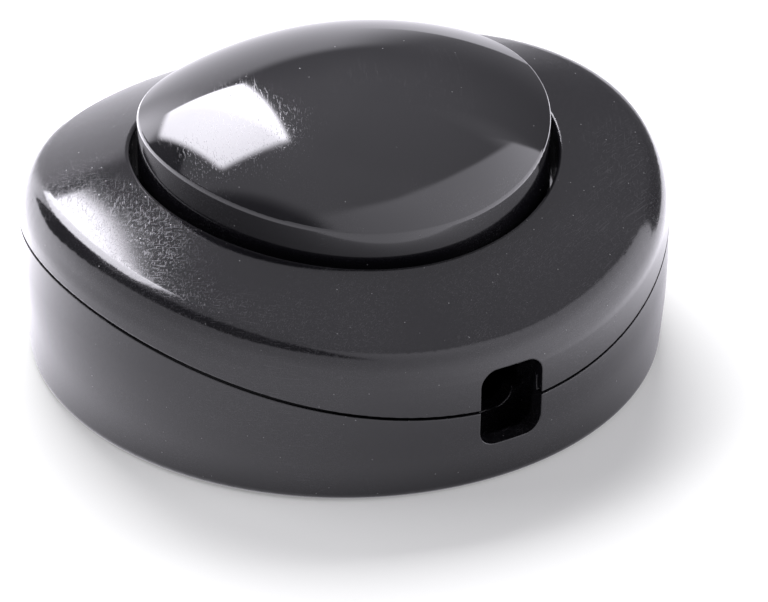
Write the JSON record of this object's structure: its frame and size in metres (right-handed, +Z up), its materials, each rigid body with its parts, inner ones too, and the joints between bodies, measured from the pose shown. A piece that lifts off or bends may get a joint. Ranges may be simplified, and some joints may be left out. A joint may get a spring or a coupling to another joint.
{
  "type": "lamp foot switch",
  "caption": "Round in-line foot switch for a lamp cord: two moulded shells with a wavy parting line, a cord entry at each end and a sprung domed button that turns a ratchet contact",
  "frame": {"origin": "middle of the flat underside, on the surface that the switch stands on", "axes": "+Z up, the cord runs along Y with the pictured entry at -Y, X across the cord"},
  "size_m": [0.062, 0.0618, 0.0294],
  "materials": {
    "casing_plastic": "near-black glossy moulded plastic",
    "button_plastic": "near-black polished moulded plastic",
    "clamp_plastic": "black moulded plastic",
    "nylon": "natural white moulded nylon",
    "brass": "drawn brass",
    "zinc_steel": "zinc-plated steel",
    "spring_steel": "bright spring steel"
  },
  "bodies": {
    "casing": {"base_shell": "casing_plastic", "top_shell": "casing_plastic", "return_spring": "spring_steel", "guide_plate": "nylon", "guide_plate_screws": "zinc_steel", "pivot_pin": "zinc_steel", "retaining_washer": "spring_steel", "line_in_terminal": "brass", "line_out_terminal": "brass", "neutral_terminal": "brass", "line_terminal_screws": "zinc_steel", "neutral_terminal_screws": "zinc_steel", "front_cord_clamp": "clamp_plastic", "rear_cord_clamp": "clamp_plastic", "front_clamp_screws": "zinc_steel", "rear_clamp_screws": "zinc_steel", "casing_screws": "zinc_steel"},
    "button": {"push_button": "button_plastic"},
    "rotor": {"ratchet_rotor": "nylon", "contact_star": "brass", "contact_spring": "spring_steel"}
  },
  "joints": [
    {"name": "button_press", "type": "slide", "parent": "casing", "child": "button", "axis": [0, 0, 1], "range_m": [-0.0035, 0], "stiffness_N_per_m": 1200, "springref_m": 0.006, "deforming": ["return_spring"]},
    {"name": "rotor_turn", "type": "hinge", "parent": "casing", "child": "rotor", "pos_m": [0, 0, 0.009], "axis": [0, 0, 1], "range_deg": [0, 30]}
  ],
  "couplings": [
    {"joint": "rotor_turn", "follows": "button_press", "rad_per_m": -149.59}
  ]
}
